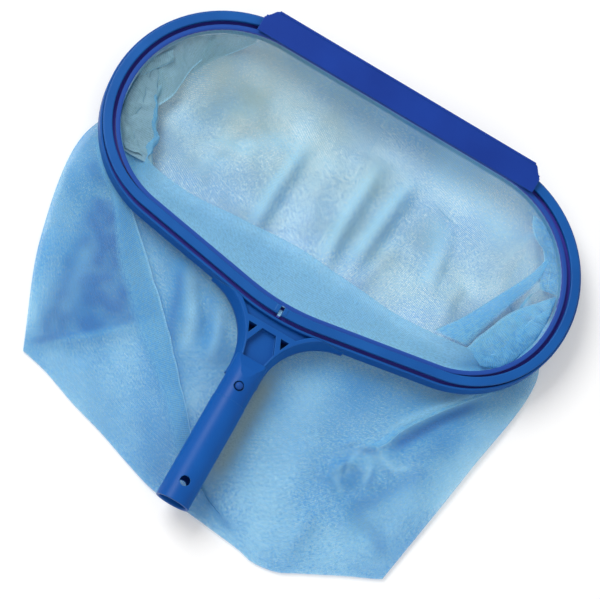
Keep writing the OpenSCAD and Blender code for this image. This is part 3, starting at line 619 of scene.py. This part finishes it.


# (tucked line, folded line, puff, pattern, single layer, its painted shade, gathers)
for tucked, folded, puff, seed, single, dark, gathers in (
        # gathers at the left end of the hoop
        ([(-195, 318, -3), (-200, 300, -4), (-200, 280, -5), (-197, 260, -6), (-189, 244, -8),
          (-178, 234, -9)],
         [(-189, 315, -6), (-180, 295, -10), (-169, 275, -12.5), (-160, 257, -13), (-154, 242, -13),
          (-151, 235, -12.5)], 3.0, 1, False, 0.6, 5),
        ([(-195, 316, -2), (-199, 300, -3), (-199, 280, -4), (-196, 262, -5), (-188, 245, -7),
          (-178, 236, -8)],
         [(-197, 311, -3), (-190, 296, -6), (-184, 276, -8), (-183, 258, -9), (-174, 246, -10),
          (-162, 238, -11)], 3.2, 2, False, 0.5, 4),
        ([(-196, 317, -4), (-190, 331, -4), (-183, 342, -4), (-174, 353, -4), (-167, 359, -4)],
         [(-173, 284, -15), (-166, 304, -16.5), (-166, 324, -16), (-161, 345, -12), (-161, 361, -6)], 2.2,
         3, True, 0.1, 3),
        ([(-166, 360, -4), (-155, 368, -4), (-146, 373, -4), (-132, 378, -4)],
         [(-163, 326, -18), (-155, 345, -19), (-144, 359, -16), (-129, 377, -8)], 1.6, 4, True, 0.0, 2),
        ([(-205, 298, -2), (-200, 310, -2), (-192, 322, -2), (-186, 330, -2)],
         [(-196, 296, -4), (-192, 305, -4), (-186, 314, -5), (-181, 322, -5)], 3.4, 11, False, 0.3, 1),
        # the slack at the right end: a taut flap, the low gathers and a curl
        ([(151, 239, -13), (159, 266, -13.5), (169, 295, -12.5), (178, 320, -10), (178, 340, -7)],
         [(119, 237, -14), (134, 258, -15.5), (154, 294, -14), (171, 328, -10.5), (175, 342, -7.5)], 1.8, 5,
         False, 0.0, 0),
        ([(168, 229, -8.5), (181, 235, -8), (192, 252, -6.5), (198, 273, -5), (199, 295, -4), (197, 313, -3)],
         [(150, 238, -12), (156, 254, -12.5), (162, 270, -12.5), (171, 287, -12), (184, 302, -9),
          (196, 315, -4)], 3.6, 6, False, 0.1, 6),
        ([(170, 230, -7.5), (182, 236, -7), (192, 252, -5.5), (198, 273, -4), (199, 293, -3), (197, 308, -3)],
         [(166, 237, -10), (176, 250, -9.5), (180, 264, -9.5), (184, 279, -8), (190, 293, -6),
          (197, 304, -4)], 3.4, 7, True, 0.15, 5),
        ([(197, 316, -3), (191, 331, -3), (182, 344, -3), (171, 356, -3), (158, 367, -3)],
         [(181, 316, -12), (176, 334, -11), (170, 345, -9), (158, 351, -8), (146, 368, -5)], 2.6, 8, True,
         0.05, 4),
        # the big fold to the left of the handle, and the cloth folded in under it
        ([(-199, 224, -16), (-180, 205, -16), (-167, 195, -16), (-151, 172, -16), (-137, 151, -16),
          (-116, 130, -16.5), (-97, 110, -17), (-67, 87, -17.5), (-38, 63, -18), (-18, 38, -20)],
         [(-205, 240, -14), (-188, 225, -13.5), (-167, 211, -13), (-139, 187, -13), (-110, 160, -13),
          (-83, 135, -13.5), (-50, 100, -15), (-17, 64, -18), (-3, 48, -20)], 1.6, 9, True, 0.12, 0),
        # the crease under the hoop's right end
        ([(184, 222, -16), (171, 208, -16), (147, 178, -16.5), (130, 151, -17), (121, 131, -18),
          (117, 124, -18)],
         [(189, 217, -14), (179, 206, -13.5), (154, 175, -13.5), (136, 148, -14), (128, 130, -15.5),
          (122, 124, -17)], 2.0, 13, True, 0.0, 0)):
    fold_over(tucked, folded, puff, seed, single, dark, gathers)
mesh = bpy.data.meshes.new("bag")
bm.to_mesh(mesh)
bm.free()
bag = bpy.data.objects.new("bag", mesh)
bpy.context.collection.objects.link(bag)
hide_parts("net_bag")
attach(bag, "frame")

# Its cloth: light blue nylon net, about two thirds open, with fine threads
# both ways, slubs along them and a drift in the weave's density.
def nylon_net(name, uv):
    """Woven net: open between the threads, closed on them. Its patterns follow the cloth's UV map."""
    mat = bpy.data.materials.new(name)
    mat.use_nodes = True
    tree = mat.node_tree
    yarn = tree.nodes["Principled BSDF"]
    yarn.inputs["Roughness"].default_value = 0.58
    yarn.inputs["Specular IOR Level"].default_value = 0.30
    yarn.inputs["Sheen Weight"].default_value = 0.12
    yarn.inputs["Sheen Roughness"].default_value = 0.4
    place = tree.nodes.new("ShaderNodeUVMap")
    place.uv_map = uv
    spot = place.outputs["UV"]
    split = tree.nodes.new("ShaderNodeSeparateXYZ")
    tree.links.new(spot, split.inputs["Vector"])
    waves = []
    for axis, rate in (("X", 5600.0), ("Y", 5000.0)):
        turn_by = tree.nodes.new("ShaderNodeMath")
        turn_by.operation = "MULTIPLY"
        turn_by.inputs[1].default_value = rate
        tree.links.new(split.outputs[axis], turn_by.inputs[0])
        wave = tree.nodes.new("ShaderNodeMath")
        wave.operation = "SINE"
        tree.links.new(turn_by.outputs[0], wave.inputs[0])
        waves.append(wave)
    weave = tree.nodes.new("ShaderNodeMath")
    weave.operation = "MAXIMUM"
    tree.links.new(waves[0].outputs[0], weave.inputs[0])
    tree.links.new(waves[1].outputs[0], weave.inputs[1])

    # Slubs: thick and thin places drawn out along the threads, both ways
    slubs = []
    for stretch in ((1.7, 0.9, 1.0), (0.9, 1.7, 1.0)):
        turned = tree.nodes.new("ShaderNodeMapping")
        turned.inputs["Scale"].default_value = stretch
        tree.links.new(spot, turned.inputs["Vector"])
        slub = tree.nodes.new("ShaderNodeTexNoise")
        slub.inputs["Scale"].default_value = 420.0
        slub.inputs["Detail"].default_value = 3.0
        tree.links.new(turned.outputs["Vector"], slub.inputs["Vector"])
        slubs.append(slub)
    both = tree.nodes.new("ShaderNodeMath")
    both.operation = "ADD"
    tree.links.new(slubs[0].outputs["Fac"], both.inputs[0])
    tree.links.new(slubs[1].outputs["Fac"], both.inputs[1])
    blotch = tree.nodes.new("ShaderNodeTexNoise")
    blotch.inputs["Scale"].default_value = 14.0
    blotch.inputs["Detail"].default_value = 3.0
    tree.links.new(spot, blotch.inputs["Vector"])
    sum_all = tree.nodes.new("ShaderNodeMath")
    sum_all.operation = "MULTIPLY_ADD"
    sum_all.inputs[1].default_value = 0.8
    tree.links.new(blotch.outputs["Fac"], sum_all.inputs[0])
    tree.links.new(both.outputs[0], sum_all.inputs[2])

    tone = tree.nodes.new("ShaderNodeValToRGB")
    tone.color_ramp.elements[0].position = 0.30
    tone.color_ramp.elements[0].color = (0.075, 0.420, 0.810, 1)
    tone.color_ramp.elements[1].position = 0.72
    tone.color_ramp.elements[1].color = (0.270, 0.740, 1.000, 1)
    share = tree.nodes.new("ShaderNodeMapRange")
    share.inputs["From Min"].default_value = 1.20
    share.inputs["From Max"].default_value = 1.60
    tree.links.new(sum_all.outputs[0], share.inputs["Value"])
    tree.links.new(share.outputs["Result"], tone.inputs["Fac"])
    colour = tone.outputs["Color"]
    # The cut edge is turned over twice and stitched: pale and nearly shut
    edge = tree.nodes.new("ShaderNodeMapRange")
    edge.inputs["From Min"].default_value = 0.0035
    edge.inputs["From Max"].default_value = 0.0010
    tree.links.new(split.outputs["Y"], edge.inputs["Value"])
    # Mixed in turn: the pale hem edge, then painted shade where the cloth bunches, the greyer tint with the
    # handle's painted shadow, and painted light on taut cloth and lit creases
    for factor, shade in ((edge.outputs["Result"], (0.30, 0.60, 0.92)), ("deep", (0.040, 0.215, 0.560)),
                          ("drab_and_shadow", (0.32, 0.46, 0.44)),
                          ("faded_and_lit", (0.400, 0.790, 1.000))):
        blend = tree.nodes.new("ShaderNodeMix")
        blend.data_type = "RGBA"
        blend.inputs["B"].default_value = (*shade, 1)
        if isinstance(factor, str):
            mark = tree.nodes.new("ShaderNodeAttribute")
            mark.attribute_name = factor
            factor = mark.outputs["Fac"]
        tree.links.new(factor, blend.inputs["Factor"])
        tree.links.new(colour, blend.inputs["A"])
        colour = blend.outputs["Result"]
    tree.links.new(colour, yarn.inputs["Base Color"])

    # How much is open: least on the threads and in dense places. Seen at a
    # slant, the threads close up the holes between them.
    holes = tree.nodes.new("ShaderNodeMapRange")
    holes.inputs["From Min"].default_value = -1.0
    holes.inputs["From Max"].default_value = 1.0
    holes.inputs["To Min"].default_value = 0.83
    holes.inputs["To Max"].default_value = 0.56
    tree.links.new(weave.outputs[0], holes.inputs["Value"])
    slant = tree.nodes.new("ShaderNodeLayerWeight")
    slant.inputs["Blend"].default_value = 0.45
    thick = tree.nodes.new("ShaderNodeMapRange")
    thick.inputs["From Min"].default_value = 0.0
    thick.inputs["From Max"].default_value = 0.9
    thick.inputs["To Min"].default_value = 1.0
    thick.inputs["To Max"].default_value = 2.6
    tree.links.new(slant.outputs["Facing"], thick.inputs["Value"])
    patchy = tree.nodes.new("ShaderNodeMapRange")
    patchy.inputs["To Min"].default_value = 1.55
    patchy.inputs["To Max"].default_value = 0.74
    tree.links.new(share.outputs["Result"], patchy.inputs["Value"])
    power = tree.nodes.new("ShaderNodeMath")
    power.operation = "MULTIPLY"
    tree.links.new(thick.outputs["Result"], power.inputs[0])
    tree.links.new(patchy.outputs["Result"], power.inputs[1])
    # Cloth that bunches, greyer cloth and taut cloth let less through, and so do the places of painted shade,
    # painted shadow and painted light
    for layer, amount in (("deep", 1.5), ("drab_and_shadow", 1.0), ("faded_and_lit", 0.5)):
        mark = tree.nodes.new("ShaderNodeAttribute")
        mark.attribute_name = layer
        more = tree.nodes.new("ShaderNodeMapRange")
        more.inputs["To Min"].default_value = 1.0
        more.inputs["To Max"].default_value = 1.0 + amount
        tree.links.new(mark.outputs["Fac"], more.inputs["Value"])
        denser = tree.nodes.new("ShaderNodeMath")
        denser.operation = "MULTIPLY"
        tree.links.new(power.outputs[0], denser.inputs[0])
        tree.links.new(more.outputs["Result"], denser.inputs[1])
        power = denser
    through = tree.nodes.new("ShaderNodeMath")
    through.operation = "POWER"
    tree.links.new(holes.outputs["Result"], through.inputs[0])
    tree.links.new(power.outputs[0], through.inputs[1])
    shut = tree.nodes.new("ShaderNodeMapRange")
    shut.inputs["To Min"].default_value = 1.0
    shut.inputs["To Max"].default_value = 0.45
    tree.links.new(edge.outputs["Result"], shut.inputs["Value"])
    gap = tree.nodes.new("ShaderNodeMath")
    gap.operation = "MULTIPLY"
    tree.links.new(through.outputs[0], gap.inputs[0])
    tree.links.new(shut.outputs["Result"], gap.inputs[1])

    relief = tree.nodes.new("ShaderNodeBump")
    relief.inputs["Strength"].default_value = 0.35
    relief.inputs["Distance"].default_value = 0.0004
    tree.links.new(weave.outputs[0], relief.inputs["Height"])
    tree.links.new(relief.outputs["Normal"], yarn.inputs["Normal"])

    glow = tree.nodes.new("ShaderNodeBsdfTranslucent")
    tree.links.new(colour, glow.inputs["Color"])
    body = tree.nodes.new("ShaderNodeMixShader")
    body.inputs["Fac"].default_value = 0.16
    tree.links.new(yarn.outputs["BSDF"], body.inputs[1])
    tree.links.new(glow.outputs["BSDF"], body.inputs[2])
    clear = tree.nodes.new("ShaderNodeBsdfTransparent")
    mix = tree.nodes.new("ShaderNodeMixShader")
    # The tucked side of a taut panel thins out to nothing
    worn = tree.nodes.new("ShaderNodeAttribute")
    worn.attribute_name = "thin"
    opened = tree.nodes.new("ShaderNodeMath")
    opened.operation = "MAXIMUM"
    tree.links.new(gap.outputs[0], opened.inputs[0])
    tree.links.new(worn.outputs["Fac"], opened.inputs[1])
    tree.links.new(opened.outputs[0], mix.inputs["Fac"])
    tree.links.new(body.outputs["Shader"], mix.inputs[1])
    tree.links.new(clear.outputs["BSDF"], mix.inputs[2])
    tree.links.new(mix.outputs["Shader"], tree.nodes["Material Output"].inputs["Surface"])
    return mat


mesh.materials.append(nylon_net("bag_net", "cloth"))

# The hem. The net's folded edge, stretched over the hoop's inner wall and
# held in the channel under the strip. It looks violet in the channel, hardly
# shows on the wall, and its joined ends stand up pale between the strip's ends.
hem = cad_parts["net_hem"]
mat = bpy.data.materials.new("hem_net")
mat.use_nodes = True
tree = mat.node_tree
yarn = tree.nodes["Principled BSDF"]
yarn.inputs["Roughness"].default_value = 0.6
yarn.inputs["Specular IOR Level"].default_value = 0.2
yarn.inputs["Sheen Weight"].default_value = 0.1
place = tree.nodes.new("ShaderNodeTexCoord")
split = tree.nodes.new("ShaderNodeSeparateXYZ")
tree.links.new(place.outputs["Object"], split.inputs["Vector"])
height = tree.nodes.new("ShaderNodeMapRange")
height.inputs["From Min"].default_value = 0.0046
height.inputs["From Max"].default_value = 0.0061
tree.links.new(split.outputs["Z"], height.inputs["Value"])
tone = tree.nodes.new("ShaderNodeValToRGB")
tone.color_ramp.elements[0].color = (0.060, 0.055, 0.420, 1)
tone.color_ramp.elements[1].color = (0.010, 0.065, 0.340, 1)
tree.links.new(height.outputs["Result"], tone.inputs["Fac"])
# The joined ends: a pale spot round the near middle of the hoop's line
off_tab = tree.nodes.new("ShaderNodeVectorMath")
off_tab.operation = "DISTANCE"
apex = hoop_line(np.array([180.0]), -1.1)[1][0]
off_tab.inputs[1].default_value = (0.0, apex * 0.001, 0.0055)
tree.links.new(place.outputs["Object"], off_tab.inputs[0])
tab = tree.nodes.new("ShaderNodeMapRange")
tab.inputs["From Min"].default_value = 0.0048
tab.inputs["From Max"].default_value = 0.0040
tree.links.new(off_tab.outputs["Value"], tab.inputs["Value"])
weave = tree.nodes.new("ShaderNodeTexNoise")
weave.inputs["Scale"].default_value = 900.0
weave.inputs["Detail"].default_value = 3.0
tree.links.new(place.outputs["Object"], weave.inputs["Vector"])
colour = tree.nodes.new("ShaderNodeMix")
colour.data_type = "RGBA"
colour.inputs["B"].default_value = (0.36, 0.74, 1.00, 1)
tree.links.new(tab.outputs["Result"], colour.inputs["Factor"])
tree.links.new(tone.outputs["Color"], colour.inputs["A"])
tree.links.new(colour.outputs["Result"], yarn.inputs["Base Color"])
relief = tree.nodes.new("ShaderNodeBump")
relief.inputs["Strength"].default_value = 0.4
relief.inputs["Distance"].default_value = 0.0003
tree.links.new(weave.outputs["Fac"], relief.inputs["Height"])
tree.links.new(relief.outputs["Normal"], yarn.inputs["Normal"])
hem.data.materials.clear()
hem.data.materials.append(mat)
